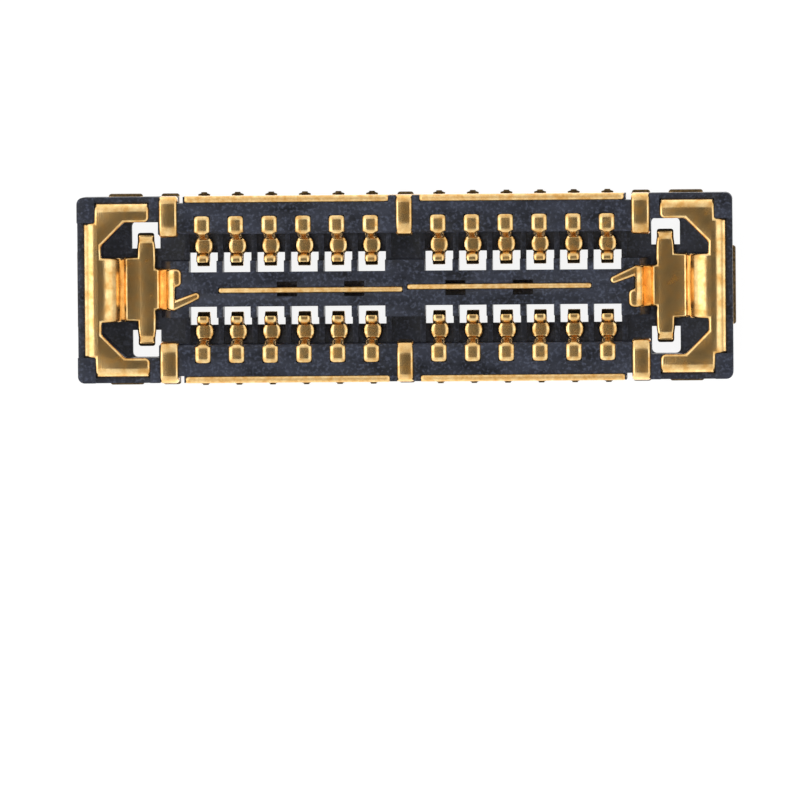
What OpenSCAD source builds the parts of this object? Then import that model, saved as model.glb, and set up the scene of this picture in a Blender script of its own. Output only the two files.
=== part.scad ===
// Receptacle of a low-profile board to board connector, mating side up.
// X runs along the rows of contacts and Y across them. Z = 0 is the solder plane of the board.
// All metal is stamped, bent and moulded into the housing, so it is cut out of the plastic exactly.

/* [Contacts] */
// Distance between neighbouring contacts of a row
pitch = 0.35; // [0.33:0.01:0.42]
// Contacts of a row on each side of the centre strap
contacts_per_side = 6; // [4:1:8]
// Sheet thickness of a contact
contact_t = 0.05; // [0.04:0.005:0.06]
// Width of a contact's solder tail
tail_w = 0.125; // [0.1:0.005:0.15]
// Width of the nib left at the end of a contact's tail
nib_w = 0.06; // [0.05:0.005:0.09]
// Length of the nib left at the end of a contact's tail
nib_l = 0.02; // [0.01:0.005:0.03]
// Height at which a contact's leg narrows to its solder tail
tail_step_z = 0.3; // [0.2:0.01:0.4]
// Width of a contact where it lies on the wall
saddle_w = 0.165; // [0.13:0.005:0.19]
// Width of a contact at its neck
neck_w = 0.12; // [0.09:0.005:0.125]
// Width of a contact at the bottom of the groove
barrel_w = 0.195; // [0.15:0.005:0.22]
// Width of a contact at its spring tip
tip_w = 0.13; // [0.1:0.005:0.14]
// Length of the taper from a contact's saddle to its neck
shoulder = 0.015; // [0.005:0.005:0.02]
// Inside radius of a contact's tail, saddle and groove bends
contact_bend = 0.025; // [0.015:0.005:0.035]
// Inside radius of the bend at the head of a contact's lead-in slope
slope_bend = 0.01; // [0.005:0.005:0.015]
// Length of the lead-in slope where a contact turns down into the groove
slope_l = 0.045; // [0.03:0.005:0.055]
// Height of the lead-in slope where a contact turns down into the groove
slope_h = 0.1; // [0.08:0.005:0.12]
// Inside radius of the bend at the foot of the spring arm
spring_bend = 0.04; // [0.03:0.005:0.05]
// Lean of the spring arm out over the groove, in degrees
arm_lean = 38; // [32:1:42]
// Inside radius of the crest where the spring arm curls over
crest_bend = 0.022; // [0.015:0.001:0.025]
// Height of the crest's corner above the solder plane, before rounding
crest_z = 0.46; // [0.445:0.005:0.47]
// Fall of the spring arm's tip towards the island, in degrees
tip_fall = 15; // [5:1:20]
// Straight length of the spring arm's tip
tip_l = 0.01; // [0.002:0.002:0.02]
// Room between the foot of the spring arm and the back of its pocket
spring_room = 0.056; // [0.05:0.002:0.07]
// Reach of a contact's solder tail beyond the housing's side, without its nib
tail_reach = 0.02; // [0.01:0.005:0.04]
// Reach of the solder tabs and strap tails beyond the housing
tab_reach = 0.03; // [0.02:0.005:0.05]
// Distance from the housing's side to a contact's leg in the wall
leg_inset = 0.18; // [0.17:0.005:0.2]
// Height of a contact's saddle above the wall top
saddle_proud = 0.02; // [0:0.005:0.03]

/* [Housing] */
// Width of the housing over the long walls
housing_w = 1.93; // [1.9:0.01:2.1]
// Height of the wall tops above the solder plane
wall_top = 0.55; // [0.52:0.01:0.65]
// Thickness of a long wall
wall_w = 0.39; // [0.37:0.005:0.41]
// Width of the island
island_w = 0.59; // [0.57:0.01:0.62]
// Height of the island's top above the solder plane
island_top = 0.46; // [0.44:0.01:0.5]
// Height of the underside above the solder plane
standoff = 0.03; // [0.01:0.005:0.04]
// Thickness of the floor
floor_t = 0.1; // [0.08:0.005:0.12]
// Thickness of the ribs between neighbouring contacts
rib_w = 0.06; // [0.04:0.005:0.08]
// Height of the ribs above the floor
rib_h = 0.07; // [0.04:0.005:0.1]
// Depth of the spring pockets in the island's side
pocket_depth = 0.115; // [0.105:0.005:0.125]
// Reach of the spring pockets under the groove
pocket_reach = 0.081; // [0.07:0.001:0.09]
// Draft of the spring pockets' back between the island's top and the underside
pocket_draft = 0.02; // [0.01:0.005:0.03]
// Radius of the housing's corners
corner_r = 0.07; // [0.04:0.01:0.16]
// Distance from an end strap's centre to the housing's end
end_zone = 0.95; // [0.93:0.01:1.1]
// Chamfer along the inner edge of the wall tops
lead_in = 0.03; // [0.01:0.005:0.04]
// Side clearance of a solder tail in its slot
slot_clear = 0.035; // [0.01:0.005:0.04]
// Length of the solder tail slots in the underside
slot_l = 0.325; // [0.29:0.005:0.38]
// Height of the roof of the solder slots above the solder plane
slot_top = 0.08; // [0.06:0.005:0.09]
// Clearance round the solder tabs and strap tails in their slots
tab_clear = 0.02; // [0.01:0.005:0.03]
// Width of the clearance pockets on the island's top
top_pocket_w = 0.155; // [0.12:0.005:0.18]
// Length of the clearance pockets on the island's top
top_pocket_l = 0.21; // [0.15:0.01:0.25]
// Depth of the clearance pockets on the island's top
top_pocket_depth = 0.14; // [0.05:0.01:0.16]
// Diameter of the pilot holes in the floor
pilot_d = 0.134; // [0.1:0.002:0.16]
// Distance from the housing's end to the pilot holes
pilot_inset = 0.67; // [0.65:0.005:0.7]
// Depth of the rim outside the end plates under the start of their bends
rim_drop = 0.005; // [0.005:0.005:0.04]

/* [End plates] */
// Sheet thickness of an end plate
plate_t = 0.07; // [0.05:0.005:0.08]
// Inside radius of an end plate's bends
plate_bend = 0.03; // [0.02:0.005:0.035]
// Inside radius of the bend where an end plate's bar turns down at the end
end_bend = 0.045; // [0.03:0.005:0.045]
// Height of the end plates above the wall tops
plate_proud = 0.02; // [0:0.005:0.03]
// Height of the fork above the island's top
fork_proud = 0.02; // [0:0.005:0.03]
// Plastic between the end plate and the housing's end
end_rim = 0.065; // [0.05:0.005:0.08]
// Plastic between the end plate and the housing's side
side_rim = 0.061; // [0.055:0.001:0.07]
// Length of the bar along the end wall
bar_w = 1.4; // [1.3:0.01:1.44]
// Distance from the housing's end to the side arms
arm_inset = 0.184; // [0.16:0.002:0.2]
// Length of the side arms
arm_l = 0.568; // [0.53:0.002:0.6]
// Width of the side arms
arm_w = 0.2; // [0.18:0.005:0.21]
// Radius of the corner at the free end of a side arm
arm_corner = 0.05; // [0.02:0.005:0.08]
// Distance from the housing's end to the end of the corner windows
window_end = 0.25; // [0.245:0.001:0.26]
// Half width between the corner windows' ends
window_half = 0.462; // [0.44:0.002:0.48]
// Distance from the housing's end to where a window meets the side arm
window_turn = 0.49; // [0.47:0.002:0.52]
// Width of the strip that runs down to the groove floor
strip_w = 0.674; // [0.62:0.002:0.7]
// Distance from the housing's end to the top of the strip's slope
strip_drop = 0.32; // [0.31:0.005:0.33]
// Distance from the housing's end to the foot of the strip's slope
strip_foot = 0.46; // [0.45:0.005:0.48]
// Width of the cross tongue
tongue_w = 0.193; // [0.17:0.001:0.2]
// Distance from the housing's end to the middle of the cross tongue
tongue_inset = 0.7; // [0.69:0.005:0.725]
// Width of the spring fingers of the cross tongue
finger_w = 0.175; // [0.12:0.005:0.18]
// Inside radius of the bend where the fingers turn up
finger_bend = 0.07; // [0.03:0.005:0.08]
// Distance from the middle to where the fingers turn up
finger_reach = 0.5; // [0.48:0.005:0.52]
// Distance from the middle to the tips of the fingers
finger_end = 0.6; // [0.58:0.005:0.62]
// Rise of the fingers over the tongue, in degrees
finger_rise = 30; // [20:1:40]
// Width of the ramp onto the island
ramp_w = 0.436; // [0.4:0.002:0.46]
// Distance from the housing's end to the foot of the ramp
ramp_foot = 0.855; // [0.85:0.005:0.87]
// Distance from the housing's end to the head of the ramp
ramp_head = 0.965; // [0.955:0.005:0.98]
// Length of the fork's short lobe
lobe_l = 0.115; // [0.09:0.005:0.13]
// Length of the fork's claw
claw_l = 0.305; // [0.27:0.005:0.31]
// Width of the fork's claw at its root
claw_w = 0.11; // [0.09:0.005:0.13]
// Width of the fork's claw at its tip
claw_tip_w = 0.08; // [0.06:0.005:0.085]
// Distance from the middle to the claw's tip
claw_tip_y = 0.07; // [0.05:0.005:0.1]
// Length of the solder tab at the end
end_tab_w = 0.82; // [0.6:0.02:1]
// Width of the solder tabs at the sides
side_tab_w = 0.357; // [0.3:0.001:0.4]
// Distance from the housing's end to the middle of the side tabs
side_tab_inset = 0.484; // [0.44:0.002:0.5]
// Height at which the legs narrow to their solder tabs
leg_step_z = 0.25; // [0.2:0.01:0.3]
// Distance between the window of the spring fingers and the end strap
finger_window_gap = 0.01; // [0.005:0.005:0.02]
// Length of the floor holes under the spring fingers
finger_hole_l = 0.297; // [0.28:0.001:0.31]
// Distance from the middle to the floor holes under the spring fingers
finger_hole_y = 0.424; // [0.4:0.002:0.45]
// Radius of the outer corners of these floor holes
finger_hole_r = 0.05; // [0.02:0.01:0.08]

/* [Shields and straps] */
// Sheet thickness of the side shields and end straps
shield_t = 0.07; // [0.05:0.005:0.08]
// Inside radius of the bends of a strap
strap_bend = 0.015; // [0.01:0.005:0.035]
// Inside radius of the bend where a strap turns down into the groove
lip_bend = 0.1; // [0.05:0.005:0.11]
// Width of the centre straps
strap_w = 0.17; // [0.12:0.01:0.2]
// Width of the end straps
end_strap_w = 0.19; // [0.16:0.01:0.2]
// Height of the straps above the wall tops
strap_proud = 0.03; // [0:0.005:0.04]
// Stand of a strap's inner leg in the groove
strap_stand = 0.04; // [0:0.005:0.05]
// Height of a strap's free inner end above the solder plane
strap_end_z = 0.28; // [0.22:0.01:0.34]
// Stand of the shields and straps outside the housing's side
shield_proud = 0.005; // [0.005:0.005:0.02]
// Distance from the housing's side to a strap's solder tail bend
strap_tail_inset = 0.25; // [0.2:0.005:0.25]
// Height at which a strap's leg turns out to the side
joggle_z = 0.14; // [0.14:0.005:0.145]
// Height of the lower edge of the shield wings
wing_bottom = 0.33; // [0.325:0.005:0.36]
// Height of the shield wings' upper edge above the wall tops
wing_proud = 0.012; // [0.004:0.002:0.02]
// Radius of the shield wings' upper corners
wing_corner = 0.05; // [0.02:0.005:0.08]
// Width of the relief slots and notches beside the straps
relief_w = 0.06; // [0.04:0.005:0.08]
// Height of the bottom of the relief slots
relief_z = 0.42; // [0.4:0.01:0.45]

/* [Centre plates] */
// Thickness of a centre plate
centre_t = 0.06; // [0.04:0.005:0.08]
// Gap between the two centre plates
centre_gap = 0.04; // [0.03:0.005:0.08]
// Sideways shift of the centre plates, opposite at the two ends
centre_shift = 0.012; // [0:0.002:0.02]
// Height of the centre plates above the island's top
centre_proud = 0.01; // [0:0.005:0.02]
// Distance from the ramp's head to the end of a centre plate's upper edge
centre_top_inset = 0.495; // [0.475:0.005:0.6]
// Distance from the ramp's head to the end of a centre plate's lower part
centre_low_inset = 0.27; // [0.23:0.005:0.32]
// Height of a centre plate's lower part
centre_low_z = 0.3; // [0.25:0.01:0.34]
// Height of a centre plate's lower edge
centre_bottom = 0.1; // [0.08:0.005:0.12]
// Length of the solder tabs of the centre plates
centre_tab_l = 0.724; // [0.5:0.002:0.74]
// Distance from a centre plate's inner end to its first solder tab
centre_tab_inset = 0.33; // [0.2:0.01:0.36]

/* [Hidden] */
bend_steps = 6;
cut = 0.05; // overshoot of a cutting shape
gold = "#a8844e";
plastic = "#2c2e37";

half_w = housing_w / 2;
strap_x = (contacts_per_side + 1) * pitch;
half_l = strap_x + end_zone;
floor_z = standoff + floor_t;
wall_in = half_w - wall_w;
island_half = island_w / 2;
top_z = wall_top + max(strap_proud, plate_proud, saddle_proud);
contact_x = [for (side = [-1, 1], i = [1 : contacts_per_side])
    side * pitch * (side < 0 ? contacts_per_side + 1 - i : i)];
rib_x = [for (i = [0 : contacts_per_side]) (i + 0.5) * pitch];

contact_names = [for (row = ["a", "b"], i = [1 : len(contact_x)]) str("contact_", row, i)];

// Paths of bent sheets: a list of corner points, each corner rounded to a radius on the centre line

function unit(v) = v / norm(v);
function left_of(v) = [-v[1], v[0]];
function turned(v, a) = [v[0] * cos(a) - v[1] * sin(a), v[0] * sin(a) + v[1] * cos(a)];
function turn_angle(u, v) = atan2(u[0] * v[1] - u[1] * v[0], u * v);
function reversed(list) = [for (i = [len(list) - 1 : -1 : 0]) list[i]];

// Arc in place of the corner b of the path a, b, c, shifted by side to the left of the path
function corner_arc(a, b, c, r, side = 0) =
    let (
        u = unit(b - a),
        angle = turn_angle(u, unit(c - b)),
        hand = sign(angle),
        start = b - u * r * tan(abs(angle) / 2),
        centre = start + left_of(u) * hand * r
    )
    [for (i = [0 : bend_steps])
        centre - turned(left_of(u), angle * i / bend_steps) * hand * (r - hand * side)];

// One face of a sheet that follows a path
function sheet_face(path, radii, side) =
    let (last = len(path) - 1)
    concat(
        [path[0] + left_of(unit(path[1] - path[0])) * side],
        [for (i = [1 : last - 1])
            each corner_arc(path[i - 1], path[i], path[i + 1], radii[i - 1], side)],
        [path[last] + left_of(unit(path[last] - path[last - 1])) * side]
    );

// Closed outline with its corners rounded, a radius of 0 keeps a corner sharp
function rounded(points, radii) =
    let (n = len(points))
    [for (i = [0 : n - 1])
        each radii[i] == 0
            ? [points[i]]
            : corner_arc(points[(i + n - 1) % n], points[i], points[(i + 1) % n], radii[i])];

// Outline that is the same on both sides of Y = 0, from its points on the positive side
function both_sides(points) = concat(points, [for (p = reversed(points)) [p[0], -p[1]]]);

// Outline that is the same at both ends of the part, from its points at positive X
function end_to_end(points) = concat(points, [for (p = reversed(points)) [-p[0], p[1]]]);

// Side profile of a sheet of thickness t bent along a path
module bent_sheet(path, radii, t)
    polygon(concat(sheet_face(path, radii, t / 2), reversed(sheet_face(path, radii, -t / 2))));

// A Y-Z profile made a solid of the given width, centred on x
module across_x(x, width)
    translate([x, 0, 0]) rotate([90, 0, 90]) linear_extrude(width, center = true) children();

// An X-Z profile made a solid of the given width, centred on y
module across_y(y, width)
    translate([0, y, 0]) rotate([90, 0, 0]) linear_extrude(width, center = true) children();

// A plan outline made a solid from z0 to z1
module standing(z0, z1)
    translate([0, 0, z0]) linear_extrude(z1 - z0) children();

module both_ends() for (turn = [0, 180]) rotate([0, 0, turn]) children();
module mirrored_y() for (side = [0, 1]) mirror([0, side, 0]) children();
module mirrored_x() for (side = [0, 1]) mirror([side, 0, 0]) children();

// Contact: solder tail, leg in the wall, saddle, lead-in slope, neck, U bend in the groove and spring arm

leg_y = half_w - leg_inset - contact_t / 2;
saddle_z = wall_top + saddle_proud - contact_t / 2;
neck_y = wall_in - contact_t / 2;
slope_y = neck_y + slope_l;
groove_z = floor_z + contact_t / 2;
spring_r = spring_bend + contact_t / 2;
crest_r = crest_bend + contact_t / 2;
spring_back = island_half - pocket_depth + spring_room;
spring_y = spring_back + contact_t / 2 + spring_r * (1 - tan(45 + arm_lean / 2));
arm_way = [sin(arm_lean), cos(arm_lean)];
tip_way = [-cos(tip_fall), -sin(tip_fall)];
crest = [spring_y + (crest_z - groove_z) * tan(arm_lean), crest_z];
crest_run = crest_r * tan(turn_angle(arm_way, tip_way) / 2);
crest_middle = crest - arm_way * crest_run + left_of(arm_way) * crest_r;

tail_end = half_w + tail_reach;

contact_path = [
    [tail_end + nib_l, contact_t / 2],
    [leg_y, contact_t / 2],
    [leg_y, saddle_z],
    [slope_y, saddle_z],
    [neck_y, saddle_z - slope_h],
    [neck_y, groove_z],
    [spring_y, groove_z],
    crest,
    crest + tip_way * (crest_run + tip_l),
];
wall_bends = [contact_bend, contact_bend, slope_bend, contact_bend, contact_bend];
contact_radii = concat([for (bend = wall_bends) bend + contact_t / 2], [spring_r, crest_r]);

// Widths of the stamped strip at distances from the middle, from the tail to the tip
barrel_out = wall_in - contact_t;
barrel_in = crest_middle[0] + crest_r + contact_t / 4;
barrel_bulge = barrel_w - (neck_w + tip_w) / 2;
contact_widths = concat(
    [
        [tail_end + nib_l + cut, nib_w],
        [tail_end, nib_w],
        [tail_end, saddle_w],
        [slope_y, saddle_w],
        [slope_y - shoulder, neck_w],
    ],
    [for (i = [0 : 8])
        let (s = (1 - cos(180 * i / 8)) / 2)
        [
            barrel_out + s * (barrel_in - barrel_out),
            neck_w + s * (tip_w - neck_w) + barrel_bulge * sin(180 * i / 8),
        ]],
    [[0, tip_w]]
);

module contact(x, turn)
    color(gold) translate([x, 0, 0]) rotate([0, 0, turn]) difference() {
        intersection() {
            across_x(0, barrel_w + 2 * cut) bent_sheet(contact_path, contact_radii, contact_t);
            standing(-cut, top_z + cut)
                rotate(90) polygon(both_sides([for (p = contact_widths) [p[0], p[1] / 2]]));
        }
        mirrored_x() translate([tail_w / 2, wall_in + contact_t, -cut])
            cube([barrel_w, half_w, tail_step_z + cut]);
    }

// End plate, drawn for the end at positive X

plate_z = wall_top + plate_proud - plate_t / 2;
plate_floor_z = floor_z + plate_t / 2;
fork_z = island_top + fork_proud - plate_t / 2;
plate_r = plate_bend + plate_t / 2;
end_r = end_bend + plate_t / 2;
end_leg_x = half_l - end_rim - plate_t / 2;
side_leg_y = half_w - side_rim - plate_t / 2;
ramp_head_x = half_l - ramp_head;
fork_root_x = ramp_head_x - plate_r * tan(atan2(fork_z - plate_floor_z, ramp_head - ramp_foot) / 2);
arm_out_x = half_l - arm_inset;
arm_in_x = arm_out_x - arm_l;
arm_mid_x = arm_out_x - arm_l / 2;
side_tab_x = half_l - side_tab_inset;
arm_in_y = half_w - side_rim - arm_w;
window_end_x = half_l - window_end;
window_turn_x = half_l - window_turn;
tongue_x = half_l - tongue_inset;
tab_end_x = half_l + tab_reach;
tab_end_y = half_w + tab_reach;

spine_path = [
    [tab_end_x, plate_t / 2],
    [end_leg_x, plate_t / 2],
    [end_leg_x, plate_z],
    [half_l - strip_drop, plate_z],
    [half_l - strip_foot, plate_floor_z],
    [half_l - ramp_foot, plate_floor_z],
    [ramp_head_x, fork_z],
    [ramp_head_x - claw_l - cut, fork_z],
];
spine_radii = [plate_r, end_r, plate_r, plate_r, plate_r, plate_r];
arm_path = [
    [tab_end_y, plate_t / 2],
    [side_leg_y, plate_t / 2],
    [side_leg_y, plate_z],
    [strip_w / 2, plate_z],
];
finger_tip_y = finger_end - plate_t / 2 * sin(finger_rise);
finger_path = [
    [strip_w / 4, plate_floor_z],
    [finger_reach, plate_floor_z],
    [finger_tip_y, plate_floor_z + (finger_tip_y - finger_reach) * tan(finger_rise)],
];

// Tapered claw that slants from one side of the fork towards the middle
claw_tip = [ramp_head_x - claw_l + claw_tip_w / 2, claw_tip_y];
claw_across = left_of(unit(claw_tip - [fork_root_x, (ramp_w - claw_w) / 2])) * claw_tip_w / 2;

module fork_plan() {
    polygon([
        [fork_root_x + cut, ramp_w / 2 - claw_w],
        [fork_root_x + cut, ramp_w / 2],
        [fork_root_x, ramp_w / 2],
        claw_tip - claw_across,
        claw_tip + claw_across,
        [fork_root_x, ramp_w / 2 - claw_w],
    ]);
    translate(claw_tip) circle(d = claw_tip_w, $fn = 32);
    polygon(rounded(
        [
            [fork_root_x + cut, -ramp_w / 2],
            [fork_root_x + cut, -claw_w / 4],
            [ramp_head_x - lobe_l, -claw_w / 4],
            [ramp_head_x - lobe_l, -ramp_w / 2],
        ],
        [0, 0, claw_w / 2, claw_w / 2]
    ));
}

module spine_plan() {
    polygon(both_sides([
        [tab_end_x + cut, bar_w / 2],
        [window_end_x, bar_w / 2],
        [window_end_x, strip_w / 2],
        [tongue_x - tongue_w / 2, strip_w / 2],
        [tongue_x - tongue_w / 2, ramp_w / 2],
        [fork_root_x, ramp_w / 2],
    ]));
    fork_plan();
}

// Half of the frame on the wall tops: corner, side arm and the window's slanted edge
frame_half = rounded(
    [
        [arm_out_x, strip_w / 2],
        [arm_out_x, tab_end_y + cut],
        [arm_in_x, tab_end_y + cut],
        [arm_in_x, arm_in_y],
        [window_turn_x, arm_in_y],
        [window_end_x, window_half],
        [window_end_x, strip_w / 2],
    ],
    [0, 0, 0, arm_corner, 0, 0, 0]
);

module spine() difference() {
    intersection() {
        across_y(0, housing_w) bent_sheet(spine_path, spine_radii, plate_t);
        standing(-cut, top_z + cut) spine_plan();
    }
    mirrored_y() translate([window_end_x, end_tab_w / 2, -cut])
        cube([window_end + tab_reach + cut, half_w, leg_step_z + cut]);
}

module side_arm() difference() {
    intersection() {
        across_x(arm_mid_x, arm_l + 2 * cut) bent_sheet(arm_path, [plate_r, plate_r], plate_t);
        standing(-cut, top_z + cut) polygon(frame_half);
    }
    for (side = [-1, 1])
        translate([side_tab_x + side * (side_tab_w + arm_l) / 2, half_w, (leg_step_z - cut) / 2])
            cube([arm_l, wall_w, leg_step_z + cut], center = true);
}

module cross_tongue() intersection() {
    across_x(tongue_x, tongue_w + 2 * cut) bent_sheet(finger_path, [finger_bend + plate_t / 2], plate_t);
    standing(-cut, top_z + cut) translate([tongue_x, 0]) rotate(90) polygon(both_sides([
        [0, tongue_w / 2],
        [finger_reach - plate_r, tongue_w / 2],
        [finger_reach, finger_w / 2],
        [half_w, finger_w / 2],
    ]));
}

module end_plate(turn) color(gold) rotate([0, 0, turn]) {
    spine();
    mirrored_y() {
        side_arm();
        cross_tongue();
    }
}

// Side shield and end strap share one bent profile

shield_y = half_w + shield_proud - shield_t / 2;
strap_z = wall_top + strap_proud - shield_t / 2;
strap_tail_y = half_w - strap_tail_inset + shield_t / 2;
strap_in_y = wall_in - strap_stand + shield_t / 2;
strap_path = [
    [tab_end_y, shield_t / 2],
    [strap_tail_y, shield_t / 2],
    [strap_tail_y, joggle_z],
    [shield_y, joggle_z + shield_y - strap_tail_y],
    [shield_y, strap_z],
    [strap_in_y, strap_z],
    [strap_in_y, strap_end_z],
];
wing_top = wall_top + wing_proud;
wing_end_x = strap_x - end_strap_w / 2 - relief_w;
wing_start_x = strap_w / 2 + relief_w;

strap_r = strap_bend + shield_t / 2;
strap_radii = [strap_r, strap_r, strap_r, strap_r, lip_bend + shield_t / 2];

module strap(x, width) across_x(x, width) bent_sheet(strap_path, strap_radii, shield_t);

module shield_wing() across_y(shield_y, shield_t) polygon(rounded(
    [
        [0, wing_bottom],
        [wing_end_x, wing_bottom],
        [wing_end_x, wing_top],
        [wing_start_x, wing_top],
        [wing_start_x, relief_z],
        [0, relief_z],
    ],
    [0, 0, wing_corner, wing_corner, 0, 0]
));

module side_shield(turn) color(gold) rotate([0, 0, turn]) {
    strap(0, strap_w);
    mirrored_x() shield_wing();
}

module end_strap(side, turn) color(gold) rotate([0, 0, turn]) strap(side * strap_x, end_strap_w);

// Centre plate, drawn for positive X

centre_start_x = centre_gap / 2;
centre_low_x = ramp_head_x - centre_low_inset;
centre_tabs = [centre_start_x + centre_tab_inset, centre_low_x - centre_tab_l];

module centre_plate(turn) color(gold) rotate([0, 0, turn]) {
    across_y(centre_shift, centre_t) polygon([
        [centre_start_x, centre_bottom],
        [centre_low_x, centre_bottom],
        [centre_low_x, centre_low_z],
        [ramp_head_x - centre_top_inset, centre_low_z],
        [ramp_head_x - centre_top_inset, island_top + centre_proud],
        [centre_start_x, island_top + centre_proud],
    ]);
    for (x = centre_tabs)
        translate([x, centre_shift - centre_t / 2, 0]) cube([centre_tab_l, centre_t, centre_bottom + cut]);
}

// Housing

finger_window_x = strap_x + end_strap_w / 2 + finger_window_gap;

// Mating cavity in one quarter of the plan
cavity_half = [
    [window_end_x, window_half],
    [window_turn_x, arm_in_y],
    [finger_window_x, arm_in_y],
    [finger_window_x, wall_in],
];

module outer_plan() polygon(rounded(
    [[half_l, half_w], [-half_l, half_w], [-half_l, -half_w], [half_l, -half_w]],
    [for (i = [0 : 3]) corner_r]
));

module cavity() standing(floor_z, top_z + cut) polygon(both_sides(end_to_end(cavity_half)));

// Bevelled inner edge of a long wall between the end straps
module wall_lead_in() across_x(0, 2 * strap_x) polygon([
    [wall_in - cut, wall_top - lead_in - cut],
    [wall_in + lead_in + cut, wall_top + cut],
    [wall_in - cut, wall_top + cut],
]);

// Island with the seats of both ramps at its ends
module island() across_y(0, island_w) polygon(end_to_end([
    [half_l - ramp_foot, floor_z - cut / 2],
    [half_l - ramp_foot, plate_floor_z],
    [ramp_head_x, fork_z],
    [ramp_head_x - lobe_l / 2, fork_z],
    [ramp_head_x - lobe_l / 2, island_top],
]));

module ribs() for (x = rib_x)
    mirrored_x() translate([x - rib_w / 2, -wall_in - cut, floor_z - cut / 2])
        cube([rib_w, 2 * (wall_in + cut), rib_h + cut / 2]);

// Sloping seat of the strip on the end wall
module strip_seat() across_y(0, strip_w) polygon([
    [window_end_x + cut, floor_z - cut / 2],
    [window_end_x + cut, plate_z],
    [half_l - strip_drop, plate_z],
    [half_l - strip_foot, plate_floor_z],
    [half_l - strip_foot, floor_z - cut / 2],
]);

module spring_pockets() for (x = contact_x)
    mirrored_y() across_x(x, pitch - rib_w) polygon([
        [island_half + pocket_reach, -cut],
        [island_half + pocket_reach, top_z + cut],
        [island_half - pocket_depth, top_z + cut],
        [island_half - pocket_depth, island_top],
        [island_half - pocket_depth - pocket_draft, standoff],
        [island_half - pocket_depth - pocket_draft, -cut],
    ]);

// Open slot in the underside at both long sides
module side_slots(x, width, inset)
    mirrored_y() translate([x - width / 2, half_w - inset, -cut])
        cube([width, inset + cut, slot_top + cut]);

module solder_slots() {
    for (x = contact_x) side_slots(x, tail_w + 2 * slot_clear, slot_l);
    side_slots(0, strap_w + 2 * tab_clear, strap_tail_inset + tab_clear);
    for (side = [-1, 1]) {
        side_slots(side * strap_x, end_strap_w + 2 * tab_clear, strap_tail_inset + tab_clear);
        side_slots(side * side_tab_x, side_tab_w + 2 * tab_clear, side_rim + plate_t + tab_clear);
    }
    both_ends() translate([end_leg_x - plate_t / 2 - tab_clear, -end_tab_w / 2 - tab_clear, -cut])
        cube([window_end, end_tab_w + 2 * tab_clear, slot_top + cut]);
}

module top_pockets() for (i = [1 : 2 : contacts_per_side - 2])
    mirrored_x() translate([(i + 0.5) * pitch, 0, island_top])
        cube([top_pocket_l, top_pocket_w, 2 * top_pocket_depth], center = true);

module strap_notches() mirrored_x() mirrored_y()
    translate([wing_end_x, half_w - shield_t, -cut])
        cube([relief_w, shield_t + cut, top_z + 2 * cut]);

// Space outside a bend at the top of a wall: the mould shuts off on the metal there
module beyond_bend(leg, rim_z, head_z, r, t, far) polygon(concat(
    sheet_face([[leg, rim_z], [leg, head_z], [0, head_z]], [r], -t / 2),
    [[0, top_z + cut], [far + cut, top_z + cut], [far + cut, rim_z]]
));

module strap_cap(x, width)
    across_x(x, width) beyond_bend(shield_y, relief_z, strap_z, strap_r, shield_t, half_w);

module strap_caps() mirrored_y() {
    strap_cap(0, strap_w);
    mirrored_x() strap_cap(strap_x, end_strap_w);
}

module plate_rims() both_ends() {
    across_y(0, bar_w) beyond_bend(end_leg_x, plate_z - end_r - rim_drop, plate_z, end_r, plate_t, half_l);
    mirrored_y() across_x(arm_mid_x, arm_l)
        beyond_bend(side_leg_y, plate_z - plate_r - rim_drop, plate_z, plate_r, plate_t, half_w);
}

finger_hole = rounded(
    [
        [finger_window_x, finger_hole_y],
        [finger_window_x + finger_hole_l, finger_hole_y],
        [finger_window_x + finger_hole_l, arm_in_y],
        [finger_window_x, arm_in_y],
    ],
    [0, 0, finger_hole_r, finger_hole_r]
);

module end_holes() both_ends() {
    mirrored_y() standing(-cut, floor_z + cut) polygon(finger_hole);
    translate([half_l - pilot_inset, 0, -cut]) cylinder(d = pilot_d, h = floor_z + cut, $fn = 32);
}

module metal() {
    for (turn = [0, 180]) {
        for (x = contact_x) contact(x, turn);
        for (side = [-1, 1]) end_strap(side, turn);
        end_plate(turn);
        side_shield(turn);
        centre_plate(turn);
    }
}

module housing() color(plastic) difference() {
    union() {
        difference() {
            standing(standoff, wall_top) outer_plan();
            cavity();
            mirrored_y() wall_lead_in();
        }
        island();
        ribs();
        both_ends() strip_seat();
    }
    spring_pockets();
    solder_slots();
    top_pockets();
    strap_notches();
    strap_caps();
    plate_rims();
    end_holes();
    metal();
}

housing();
end_plate(180);  // end_plate_left
end_plate(0);  // end_plate_right
side_shield(0);  // side_shield_a
side_shield(180);  // side_shield_b
end_strap(-1, 0);  // end_strap_a_left
end_strap(1, 0);  // end_strap_a_right
end_strap(1, 180);  // end_strap_b_left
end_strap(-1, 180);  // end_strap_b_right
centre_plate(180);  // centre_plate_left
centre_plate(0);  // centre_plate_right
for (i = [0 : len(contact_x) - 1]) {
    contact(contact_x[i], 0);
    contact(contact_x[i], 180);
}
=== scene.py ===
import bpy
import bmesh
import math
from mathutils import Matrix, Vector


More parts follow.
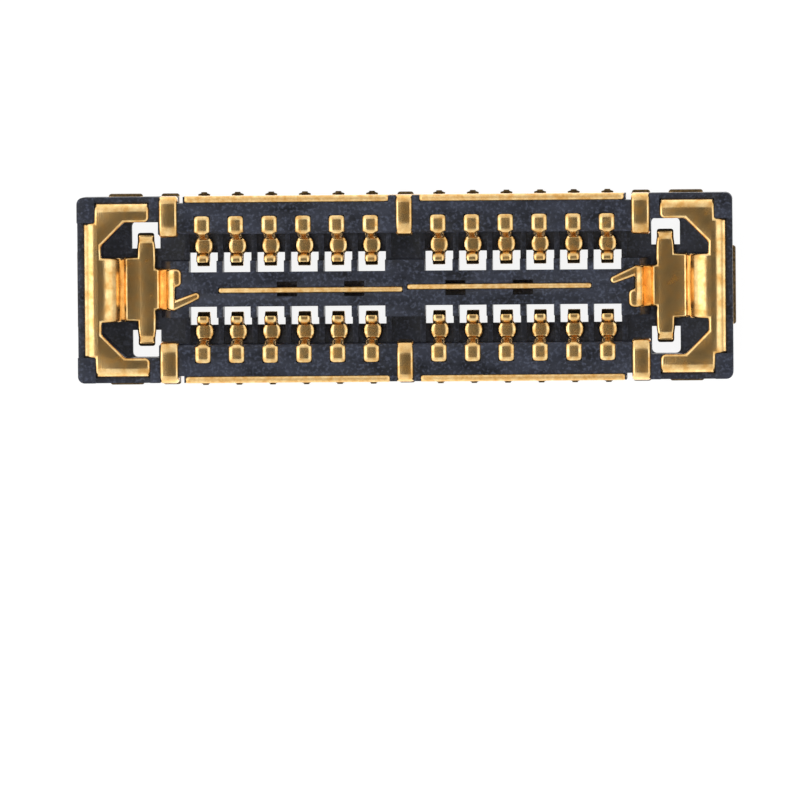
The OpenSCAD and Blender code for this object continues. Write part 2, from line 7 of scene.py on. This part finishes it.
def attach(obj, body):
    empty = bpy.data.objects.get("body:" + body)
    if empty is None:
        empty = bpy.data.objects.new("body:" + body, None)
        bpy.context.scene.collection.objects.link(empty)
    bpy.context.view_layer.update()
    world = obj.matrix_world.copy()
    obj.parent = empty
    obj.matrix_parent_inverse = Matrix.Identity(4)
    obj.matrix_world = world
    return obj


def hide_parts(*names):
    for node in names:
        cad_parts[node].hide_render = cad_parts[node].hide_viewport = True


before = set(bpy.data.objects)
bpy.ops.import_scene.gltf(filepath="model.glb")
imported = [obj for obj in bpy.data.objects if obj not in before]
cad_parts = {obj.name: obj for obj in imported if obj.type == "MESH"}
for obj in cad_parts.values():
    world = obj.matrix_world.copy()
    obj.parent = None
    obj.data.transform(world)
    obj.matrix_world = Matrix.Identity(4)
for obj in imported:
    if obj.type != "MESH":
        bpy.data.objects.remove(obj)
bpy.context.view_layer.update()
print("frame loaded,", len(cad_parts), "nodes")

mm = 0.001  # one millimetre in Blender's metres


def hexLinear(code):
    channels = [int(code[i:i + 2], 16) / 255 for i in (1, 3, 5)]
    return [c / 12.92 if c <= 0.04045 else ((c + 0.055) / 1.055) ** 2.4 for c in channels] + [1.0]


def perSize(sizeMm):
    return 1 / (sizeMm * mm)  # texture scale for a feature of this size


# Adds one node; inputs holds values or (node, output name) links
def addNode(tree, kind, inputs=None, **settings):
    node = tree.nodes.new("ShaderNode" + kind)
    for name, value in settings.items():
        setattr(node, name, value)
    for name, value in (inputs or {}).items():
        if isinstance(value, tuple) and isinstance(value[0], bpy.types.Node):
            tree.links.new(value[0].outputs[value[1]], node.inputs[name])
        else:
            node.inputs[name].default_value = value
    return node


def setRamp(node, stops):
    ramp, stops = node.color_ramp, list(stops)
    while len(ramp.elements) < len(stops):
        ramp.elements.new(0.5)
    for element, (place, colour) in zip(ramp.elements, stops):
        element.position = place
        element.color = colour


def newMaterial(name):
    material = bpy.data.materials.new(name)
    material.use_nodes = True
    material.node_tree.nodes.clear()
    return material, material.node_tree


# Black liquid crystal polymer, injection moulded with mineral filler: a charcoal skin with a cold
# blue cast, half matt, clouded by the flow of the melt and speckled where filler lies at the surface
mouldedPlastic = {
    "dark": "#0f1118", "mid": "#2d313e", "pale": "#4f5567",
    "cloudMm": 0.2, "cloudRun": 0.45, "cloudDetail": 5.0, "cloudRough": 0.62, "cloudBand": (0.34, 0.64),
    "speckMm": 0.03, "speckDetail": 2.0, "speckBand": (0.5, 0.7), "speckShare": 0.6,
    "roughLow": 0.34, "roughHigh": 0.5, "roughBand": (0.3, 0.7), "shine": 0.3,
    "grainMm": 0.012, "grainDetail": 3.0, "bumpMm": 0.0016, "bumpShare": 0.6,
    "edgeMm": 0.012, "edgeSamples": 6,
}


def makePlastic(v):
    material, tree = newMaterial("mouldedLiquidCrystalPolymer")
    place = addNode(tree, "TexCoord")
    flow = addNode(tree, "Mapping", {"Vector": (place, "Object"), "Scale": (v["cloudRun"], 1.0, 1.0)})
    cloud = addNode(tree, "TexNoise", {
        "Vector": (flow, "Vector"), "Scale": perSize(v["cloudMm"]),
        "Detail": v["cloudDetail"], "Roughness": v["cloudRough"]})
    speck = addNode(tree, "TexNoise", {
        "Vector": (place, "Object"), "Scale": perSize(v["speckMm"]), "Detail": v["speckDetail"]})
    cloudColour = addNode(tree, "ValToRGB", {"Fac": (cloud, "Fac")})
    setRamp(cloudColour, zip(v["cloudBand"], [hexLinear(v["dark"]), hexLinear(v["mid"])]))
    speckMask = addNode(tree, "MapRange", {
        "Value": (speck, "Fac"), "From Min": v["speckBand"][0], "From Max": v["speckBand"][1],
        "To Min": 0.0, "To Max": v["speckShare"]})
    colour = addNode(tree, "MixRGB", {
        "Fac": (speckMask, "Result"), "Color1": (cloudColour, "Color"), "Color2": hexLinear(v["pale"])})
    rough = addNode(tree, "MapRange", {
        "Value": (cloud, "Fac"), "From Min": v["roughBand"][0], "From Max": v["roughBand"][1],
        "To Min": v["roughLow"], "To Max": v["roughHigh"]})
    grain = addNode(tree, "TexNoise", {
        "Vector": (place, "Object"), "Scale": perSize(v["grainMm"]), "Detail": v["grainDetail"]})
    edges = addNode(tree, "Bevel", {"Radius": v["edgeMm"] * mm}, samples=v["edgeSamples"])
    bump = addNode(tree, "Bump", {
        "Height": (grain, "Fac"), "Strength": v["bumpShare"], "Distance": v["bumpMm"] * mm,
        "Normal": (edges, "Normal")})
    skin = addNode(tree, "BsdfPrincipled", {
        "Base Color": (colour, "Color"), "Roughness": (rough, "Result"),
        "Specular IOR Level": v["shine"], "Normal": (bump, "Normal")})
    addNode(tree, "OutputMaterial", {"Surface": (skin, "BSDF")})
    return material


# Copper alloy strip, rolled, stamped, bent and gold plated: a satin metal that takes its light from
# the sides, with fine rolling lines and soft brown clouds where the plating is thin
contactGold = {
    "name": "goldPlatedSpringStrip", "deep": "#dfab62", "bright": "#ffde9f",
    "cloudMm": 0.07, "lineMm": 0.007, "lineRun": 0.12,
    "roughLow": 0.18, "roughHigh": 0.32, "bumpMm": 0.0008,
}
plateGold = {
    "name": "goldPlatedPlate", "deep": "#dda85e", "bright": "#ffdb9b",
    "cloudMm": 0.11, "lineMm": 0.008, "lineRun": 0.1,
    "roughLow": 0.16, "roughHigh": 0.28, "bumpMm": 0.0009,
}

# Edge of the plate, sheared before the plating: the torn grain leaves the gold matt and evenly bright
platedEdge = {
    "name": "goldPlatedShearedEdge", "deep": "#dda85e", "bright": "#ffdb9b",
    "cloudMm": 0.06, "lineMm": 0.008, "lineRun": 0.4,
    "roughLow": 0.38, "roughHigh": 0.5, "bumpMm": 0.001,
}

# Copper alloy bared where a piece was sheared off its carrier: dull and dark, tarnished brown
shearedEdge = {
    "name": "shearedCopperAlloy", "deep": "#33291c", "bright": "#6b5636",
    "cloudMm": 0.03, "lineMm": 0.006, "lineRun": 0.3,
    "roughLow": 0.4, "roughHigh": 0.6, "bumpMm": 0.0015,
}

# What all four metals share: the make of their clouds and rolling lines
metalPattern = {
    "cloudDetail": 4.0, "cloudRough": 0.6, "colourBand": (0.32, 0.66), "roughBand": (0.3, 0.7),
    "lineDetail": 2.0, "bumpShare": 0.5,
}


def makeMetal(v, p):
    material, tree = newMaterial(v["name"])
    place = addNode(tree, "TexCoord")
    cloud = addNode(tree, "TexNoise", {
        "Vector": (place, "Object"), "Scale": perSize(v["cloudMm"]),
        "Detail": p["cloudDetail"], "Roughness": p["cloudRough"]})
    colour = addNode(tree, "ValToRGB", {"Fac": (cloud, "Fac")})
    setRamp(colour, zip(p["colourBand"], [hexLinear(v["deep"]), hexLinear(v["bright"])]))
    rough = addNode(tree, "MapRange", {
        "Value": (cloud, "Fac"), "From Min": p["roughBand"][0], "From Max": p["roughBand"][1],
        "To Min": v["roughHigh"], "To Max": v["roughLow"]})
    rolled = addNode(tree, "Mapping", {"Vector": (place, "Object"), "Scale": (1.0, v["lineRun"], 1.0)})
    lines = addNode(tree, "TexNoise", {
        "Vector": (rolled, "Vector"), "Scale": perSize(v["lineMm"]), "Detail": p["lineDetail"]})
    bump = addNode(tree, "Bump", {
        "Height": (lines, "Fac"), "Strength": p["bumpShare"], "Distance": v["bumpMm"] * mm})
    metal = addNode(tree, "BsdfPrincipled", {
        "Base Color": (colour, "Color"), "Metallic": 1.0, "Roughness": (rough, "Result"),
        "Normal": (bump, "Normal")})
    addNode(tree, "OutputMaterial", {"Surface": (metal, "BSDF")})
    return material


plastic = makePlastic(mouldedPlastic)
stripGold = makeMetal(contactGold, metalPattern)
sheetGold = makeMetal(plateGold, metalPattern)
edgeGold = makeMetal(platedEdge, metalPattern)
bareEdge = makeMetal(shearedEdge, metalPattern)
print("materials made")

smoothDeg = 35  # edges that turn less than this are shaded smooth


# Adds a finished mesh, worked in millimetres, as the look of a CAD node
def addPiece(mesh, nodeName, pieceName, materials):
    bmesh.ops.recalc_face_normals(mesh, faces=mesh.faces)
    bmesh.ops.scale(mesh, vec=(mm,) * 3, verts=mesh.verts)
    for face in mesh.faces:
        face.smooth = True
    for e in mesh.edges:
        e.smooth = len(e.link_faces) != 2 or e.calc_face_angle() < math.radians(smoothDeg)
    data = bpy.data.meshes.new(pieceName)
    mesh.to_mesh(data)
    mesh.free()
    for material in materials:
        data.materials.append(material)
    piece = bpy.data.objects.new(pieceName, data)
    bpy.context.scene.collection.objects.link(piece)
    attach(piece, "root")
    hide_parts(nodeName)


# Contact: a strip pushed and spun along its bends; the stamping rolls its upper edges over
contactForm = {
    "thick": 0.05, "tailEnd": 0.985, "nib": 0.02, "legY": 0.76, "stepZ": 0.3, "saddleZ": 0.545,
    "slopeY": 0.595, "slopeDrop": 0.1, "neckY": 0.55, "grooveZ": 0.155, "springBack": 0.236,
    "leanDeg": 38, "crestZ": 0.46, "tipFallDeg": 15, "tip": 0.01,
    "bends": [0.05, 0.05, 0.035, 0.05, 0.05, 0.065, 0.047],
    "nibWidth": 0.06, "tailWidth": 0.125, "saddleWidth": 0.165, "neckWidth": 0.12, "shoulder": 0.015,
    "barrelOuter": 0.525, "barrelInner": 0.367, "barrelWidth": 0.195, "tipWidth": 0.13,
    "rollShare": 0.6, "rollDepth": 0.025, "rollSteps": 6,
    "lowerShare": 0.12, "lowerDepth": 0.008, "lowerSteps": 3,
    "stepMm": 0.012, "bendSteps": 8, "endRound": 0.006, "endSegments": 2, "bareFrom": 0.975,
    "pitch": 0.35, "perSide": 6,
}


# Corners of the strip's middle line as (y, z), from the nib of the tail to the tip of the spring
def contactPath(v):
    low = v["thick"] / 2
    springR, crestR = v["bends"][-2:]
    lean, fall = math.radians(v["leanDeg"]), math.radians(v["tipFallDeg"])
    springY = v["springBack"] + low + springR * (1 - math.tan(math.pi / 4 + lean / 2))
    crestY = springY + (v["crestZ"] - v["grooveZ"]) * math.tan(lean)
    tipRun = crestR * math.tan((math.pi / 2 + lean + fall) / 2) + v["tip"]
    return [
        (v["tailEnd"] + v["nib"], low), (v["legY"], low), (v["legY"], v["saddleZ"]),
        (v["slopeY"], v["saddleZ"]), (v["neckY"], v["saddleZ"] - v["slopeDrop"]),
        (v["neckY"], v["grooveZ"]), (springY, v["grooveZ"]), (crestY, v["crestZ"]),
        (crestY - tipRun * math.cos(fall), v["crestZ"] - tipRun * math.sin(fall))]


# A quarter turn in even steps
def quarter(steps):
    return [math.radians(90 * i / steps) for i in range(steps + 1)]


# Outline of the strip's section: x is a share of the half width, n the height over the middle
def stripSection(v):
    high = v["thick"] / 2
    top = [(1 - v["rollShare"] * (1 - math.sin(a)), high - v["rollDepth"] * (1 - math.cos(a)))
           for a in quarter(v["rollSteps"])]
    low = [(1 - v["lowerShare"] * (1 - math.cos(a)), v["lowerDepth"] * (1 - math.sin(a)) - high)
           for a in quarter(v["lowerSteps"])]
    half = top + low
    return half + [(-x, n) for x, n in reversed(half)]


def contactWidth(v, y, z):
    if y > v["tailEnd"]:
        return v["nibWidth"]
    if y > v["slopeY"]:
        return v["tailWidth"] if z < v["stepZ"] else v["saddleWidth"]
    if y > v["barrelOuter"]:
        narrowed = min((v["slopeY"] - y) / v["shoulder"], 1)
        return v["saddleWidth"] + narrowed * (v["neckWidth"] - v["saddleWidth"])
    s = min((v["barrelOuter"] - y) / (v["barrelOuter"] - v["barrelInner"]), 1)
    bulge = v["barrelWidth"] - (v["neckWidth"] + v["tipWidth"]) / 2
    return v["neckWidth"] + s * (v["tipWidth"] - v["neckWidth"]) + bulge * 2 * math.sqrt(s * (1 - s))


def makeContact(v):
    mesh = bmesh.new()
    points = [Vector((0, y, z)) for y, z in contactPath(v)]
    place, way = points[0], (points[1] - points[0]).normalized()
    end = mesh.faces.new([mesh.verts.new((x, place.y, place.z + n)) for x, n in stripSection(v)])
    ends = [end]
    for corner, after, bend in zip(points[1:], points[2:] + [None], v["bends"] + [0]):
        onward = (after - corner).normalized() if after else way
        turn = math.atan2(way.y * onward.z - way.z * onward.y, way.dot(onward))
        run = bend * math.tan(abs(turn) / 2)
        straight = corner - way * run - place
        steps = math.ceil(straight.length / v["stepMm"])
        for i in range(steps):
            pushed = bmesh.ops.extrude_face_region(mesh, geom=[end])["geom"]
            moved = [g for g in pushed if isinstance(g, bmesh.types.BMVert)]
            bmesh.ops.translate(mesh, vec=straight / steps, verts=moved)
            end = next(g for g in pushed if isinstance(g, bmesh.types.BMFace))
        if after:
            centre = corner - way * run + Vector((0, -way.z, way.y)) * math.copysign(bend, turn)
            spun = bmesh.ops.spin(
                mesh, geom=[end], cent=centre, axis=(1, 0, 0), angle=turn, steps=v["bendSteps"])
            end = next(g for g in spun["geom_last"] if isinstance(g, bmesh.types.BMFace))
            place, way = corner + onward * run, onward
    ends.append(end)
    for vert in mesh.verts:
        vert.co.x *= contactWidth(v, vert.co.y, vert.co.z) / 2
    for face in mesh.faces:
        face.material_index = int(face in ends or face.calc_center_median().y > v["bareFrom"])
    bmesh.ops.bevel(
        mesh, geom=list({e for face in ends for e in face.edges}), offset=v["endRound"],
        offset_type="OFFSET", affect="EDGES", segments=v["endSegments"], profile=0.5, material=-1,
        clamp_overlap=True)
    return mesh


contactMesh = makeContact(contactForm)
places = [side * i * contactForm["pitch"]
          for side in (-1, 1) for i in range(1, contactForm["perSide"] + 1)]
for row, turn in (("a", 0), ("b", math.pi)):
    for number, x in enumerate(sorted(places), 1):
        mesh = contactMesh.copy()
        bmesh.ops.rotate(mesh, cent=(0, 0, 0), matrix=Matrix.Rotation(turn, 3, "Z"), verts=mesh.verts)
        bmesh.ops.translate(mesh, vec=(x, 0, 0), verts=mesh.verts)
        nodeName = "contact_%s%d" % (row, number)
        addPiece(mesh, nodeName, nodeName + "_formed", [stripGold, bareEdge])
contactMesh.free()
print("contacts formed")


# Merged copy of a CAD node in millimetres, its triangles joined to whole faces
def mergedCopy(nodeName, v):
    mesh = bmesh.new()
    mesh.from_mesh(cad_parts[nodeName].data)
    bmesh.ops.scale(mesh, vec=(1 / mm,) * 3, verts=mesh.verts)
    bmesh.ops.remove_doubles(mesh, verts=mesh.verts, dist=v["mergeMm"])
    bmesh.ops.dissolve_limit(
        mesh, angle_limit=math.radians(v["joinDeg"]), verts=mesh.verts, edges=mesh.edges,
        use_dissolve_boundaries=False)
    return mesh


# Rounds the sharp edges, but leaves those whose middle lies in the hidden band of heights
def roundEdges(mesh, v):
    low, high = v["hiddenZ"]
    sharp = [e for e in mesh.edges if e.is_manifold and e.calc_face_angle() > math.radians(v["fromDeg"])
             and not low < (e.verts[0].co.z + e.verts[1].co.z) / 2 < high]
    bmesh.ops.bevel(
        mesh, geom=sharp, offset=v["roundMm"], offset_type="OFFSET", affect="EDGES",
        segments=v["segments"], profile=0.5, material=-1, clamp_overlap=v["clamp"])


# Plates and straps: edges rolled over to nearly half the sheet; cut-off tabs and fingers are bare
plateEdge = {
    "mergeMm": 0.002, "joinDeg": 1, "fromDeg": 40, "hiddenZ": (0, 0), "roundMm": 0.028, "segments": 4,
    "clamp": False,
}
shieldEdge = dict(plateEdge, hiddenZ=(0.08, 0.35))  # its leg lies inside the wall
shearedAt = {
    "tabX": 3.4, "tabY": 0.967, "tabZ": 0.1, "fingerY": 0.57, "fingerEnd": 0.61, "fingerZ": 0.27,
    "lipY": 0.65, "lipZ": 0.32, "stripX": 0.15, "stripZ": 0.52,
}


# Material of a face by its place: 0 the plated sheet, 1 bare sheared metal, 2 a plated sheared edge
def sheetPart(face, nodeName, v):
    middle = face.calc_center_median()
    x, y, z = abs(middle.x), abs(middle.y), middle.z
    isStrap = nodeName.startswith(("end_strap", "side"))
    isStrip = nodeName.startswith("side") and x > v["stripX"] and z > v["stripZ"]
    onTab = z < v["tabZ"] and (x > v["tabX"] or y > v["tabY"])
    onLip = isStrap and y < v["lipY"] and z < v["lipZ"]
    onFinger = not isStrap and v["fingerY"] < y < v["fingerEnd"] and z < v["fingerZ"]
    if onTab or onLip or onFinger:
        return 1
    return 2 if isStrip or nodeName.startswith("centre") else 0


# Bends that the photo shows fuller than the solids have them: centre at a distance along x or y and a
# height, radii of the two faces and the turn, then the new centre, growth of the radii and turn
stripHead = {
    "axis": 0, "centre": (3.125, 0.47), "radii": (0.03, 0.1), "turnDeg": 69.3, "rises": True,
    "newCentre": (3.145, 0.37), "grow": 0.1, "newTurnDeg": 84, "halfWidth": 0.34,
}
stripFoot = {
    "axis": 0, "centre": (2.895, 0.23), "radii": (0.03, 0.1), "turnDeg": 69.3, "rises": False,
    "newCentre": (2.895, 0.23), "grow": 0, "newTurnDeg": 84, "halfWidth": 0.34,
}
centreStrapLip = {
    "axis": 1, "centre": (0.705, 0.41), "radii": (0.1, 0.17), "turnDeg": 90, "rises": True,
    "newCentre": (0.705, 0.37), "grow": 0.04, "newTurnDeg": 48, "halfWidth": 9,
}
endStrapLip = dict(centreStrapLip, newCentre=(0.68, 0.37), newTurnDeg=40)
fullBends = {
    "end_plate": [stripHead, stripFoot], "end_strap": [endStrapLip], "side_shield": [centreStrapLip],
}
bendSlack = {"mm": 0.003, "deg": 1}  # how far a corner may lie off the bend and still belong to it


def rebend(mesh, v, slack):
    way = 1 if v["rises"] else -1
    for vert in mesh.verts:
        place = vert.co[v["axis"]]
        along, up = way * (v["centre"][0] - abs(place)), way * (vert.co.z - v["centre"][1])
        reach, turn = math.hypot(along, up), math.degrees(math.atan2(along, up))
        onBend = min(abs(reach - r) for r in v["radii"]) < slack["mm"]
        inTurn = -slack["deg"] < turn < v["turnDeg"] + slack["deg"]
        if onBend and inTurn and abs(vert.co[1 - v["axis"]]) < v["halfWidth"]:
            reach += v["grow"]
            turn = math.radians(turn * v["newTurnDeg"] / v["turnDeg"])
            vert.co[v["axis"]] = math.copysign(v["newCentre"][0] - way * reach * math.sin(turn), place)
            vert.co.z = v["newCentre"][1] + way * reach * math.cos(turn)
    mesh.normal_update()


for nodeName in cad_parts:
    if not nodeName.startswith(("contact", "housing")):
        mesh = mergedCopy(nodeName, plateEdge)
        for kind, bends in fullBends.items():
            for bend in bends if nodeName.startswith(kind) else []:
                rebend(mesh, bend, bendSlack)
        roundEdges(mesh, shieldEdge if nodeName.startswith("side") else plateEdge)
        for face in mesh.faces:
            face.material_index = sheetPart(face, nodeName, shearedAt)
        addPiece(mesh, nodeName, nodeName + "_formed", [sheetGold, bareEdge, edgeGold])
print("plates and straps formed")

# Housing: the mould leaves its edges nearly sharp
housingEdge = {
    "mergeMm": 0.0025, "joinDeg": 1, "fromDeg": 40, "hiddenZ": (0, 0), "roundMm": 0.01, "segments": 2,
    "clamp": True,
}
mesh = mergedCopy("housing", housingEdge)
roundEdges(mesh, housingEdge)
addPiece(mesh, "housing", "housing_moulded", [plastic])
print("housing formed")


# Studio: a white tent with a long soft box at each side, left the stronger, and a dim warm opening
# above where the lens looks in; each stop is a height, 1 straight above, with its brightness
tent = {
    "boxes": [(0.0, 0.8), (0.35, 0.95), (0.6, 1.75), (0.92, 1.75), (0.965, 0.11)],
    "cloth": [(0.0, 1.25), (0.3, 1.1), (0.6, 0.9), (0.92, 0.7), (0.965, 0.11)],
    "below": 0.6, "peak": 2.0, "leftGain": 0.2, "openingTint": (1.0, 0.86, 0.66),
}


def lightTent(v):
    world = bpy.data.worlds.new("lightTent")
    bpy.context.scene.world = world
    world.use_nodes = True
    tree = world.node_tree
    tree.nodes.clear()
    place = addNode(tree, "TexCoord")
    axes = addNode(tree, "SeparateXYZ", {"Vector": (place, "Generated")})
    height = addNode(tree, "MapRange", {"Value": (axes, "Z"), "From Min": -1.0, "From Max": 1.0})
    ramps = []
    for name in ("cloth", "boxes"):
        ramp = addNode(tree, "ValToRGB", {"Fac": (height, "Result")})
        levels = [(-1.0, v["below"])] + v[name]
        setRamp(ramp, [((z + 1) / 2, [level / v["peak"]] * 3 + [1.0]) for z, level in levels])
        opening = ramp.color_ramp.elements[-1]
        opening.color = [c * tint for c, tint in zip(opening.color, v["openingTint"])] + [1.0]
        ramps.append(ramp)
    flat = addNode(tree, "CombineXYZ", {"X": (axes, "X"), "Y": (axes, "Y")})
    way = addNode(tree, "VectorMath", {"Vector": (flat, "Vector")}, operation="NORMALIZE")
    side = addNode(tree, "SeparateXYZ", {"Vector": (way, "Vector")})
    share = addNode(tree, "Math", {0: (side, "X"), 1: (side, "X")}, operation="MULTIPLY")
    light = addNode(tree, "MixRGB", {
        "Fac": (share, "Value"), "Color1": (ramps[0], "Color"), "Color2": (ramps[1], "Color")})
    gain = addNode(tree, "MapRange", {
        "Value": (side, "X"), "From Min": -1.0, "From Max": 1.0,
        "To Min": v["peak"] * (1 + v["leftGain"]), "To Max": v["peak"] * (1 - v["leftGain"])})
    glow = addNode(tree, "Background", {"Color": (light, "Color"), "Strength": (gain, "Result")})
    addNode(tree, "OutputWorld", {"Surface": (glow, "Background")})


# White table: what the lens and the metal see is lit paper, the rest is plain white card
table = {"sizeM": 3.0, "dropM": 2e-6, "glow": 0.9, "mirrored": 1.3, "shade": 0.18, "card": 0.8}


def whiteTable(v):
    mesh = bmesh.new()
    bmesh.ops.create_grid(mesh, x_segments=1, y_segments=1, size=v["sizeM"] / 2)
    bmesh.ops.translate(mesh, vec=(0, 0, -v["dropM"]), verts=mesh.verts)
    data = bpy.data.meshes.new("whiteTable")
    mesh.to_mesh(data)
    mesh.free()
    material, tree = newMaterial("whitePaper")
    path = addNode(tree, "LightPath")
    direct = addNode(
        tree, "Math", {0: (path, "Is Camera Ray"), 1: (path, "Is Glossy Ray")}, operation="MAXIMUM")
    seen = addNode(
        tree, "Math", {0: (direct, "Value"), 1: (path, "Is Transmission Ray")}, operation="MAXIMUM")
    card = addNode(tree, "BsdfDiffuse", {"Color": [v["card"]] * 3 + [1.0]})
    shade = addNode(tree, "BsdfDiffuse", {"Color": [v["shade"]] * 3 + [1.0]})
    level = addNode(tree, "MapRange", {
        "Value": (path, "Is Glossy Ray"), "To Min": v["glow"], "To Max": v["mirrored"]})
    glow = addNode(tree, "Emission", {"Color": [1.0] * 4, "Strength": (level, "Result")})
    paper = addNode(tree, "AddShader", {0: (shade, "BSDF"), 1: (glow, "Emission")})
    surface = addNode(tree, "MixShader", {0: (seen, "Value"), 1: (card, "BSDF"), 2: (paper, "Shader")})
    addNode(tree, "OutputMaterial", {"Surface": (surface, "Shader")})
    data.materials.append(material)
    floor = bpy.data.objects.new("whiteTable", data)
    bpy.context.scene.collection.objects.link(floor)


lightTent(tent)
whiteTable(table)

# Camera: a long lens almost straight above, with the part in the upper half of the picture
lens = {
    "focalMm": 500, "sensorMm": 36, "frameMm": 8.296, "framePx": 800, "centrePx": (404.7, 288.1),
    "tiltDeg": 2.0, "leanDeg": 2.2, "rollDeg": 0.5, "focusZMm": 0.5, "clipNear": 0.2, "clipFar": 20,
}


def placeCamera(v):
    data = bpy.data.cameras.new("copyStand")
    data.lens = v["focalMm"]
    data.sensor_width = v["sensorMm"]
    distance = v["frameMm"] * mm * v["focalMm"] / v["sensorMm"]
    data.clip_start = distance * v["clipNear"]
    data.clip_end = distance * v["clipFar"]
    lean, tilt, roll = (math.radians(v[name]) for name in ("leanDeg", "tiltDeg", "rollDeg"))
    back = Vector((math.tan(lean), math.tan(tilt), 1)).normalized()
    right = Vector((math.sin(roll), math.cos(roll), 0)).cross(back).normalized()
    up = back.cross(right)
    pixel = v["frameMm"] * mm / v["framePx"]
    middle = v["framePx"] / 2
    shiftX = (v["centrePx"][0] - middle) * pixel
    shiftY = (middle - v["centrePx"][1]) * pixel
    target = Vector((0, 0, v["focusZMm"] * mm)) - right * shiftX - up * shiftY
    camera = bpy.data.objects.new("copyStand", data)
    turned = Matrix((right, up, back)).transposed().to_4x4()
    camera.matrix_world = Matrix.Translation(target + back * distance) @ turned
    bpy.context.scene.collection.objects.link(camera)
    bpy.context.scene.camera = camera


placeCamera(lens)
bpy.context.scene.view_settings.view_transform = "Standard"
print("studio and camera placed")
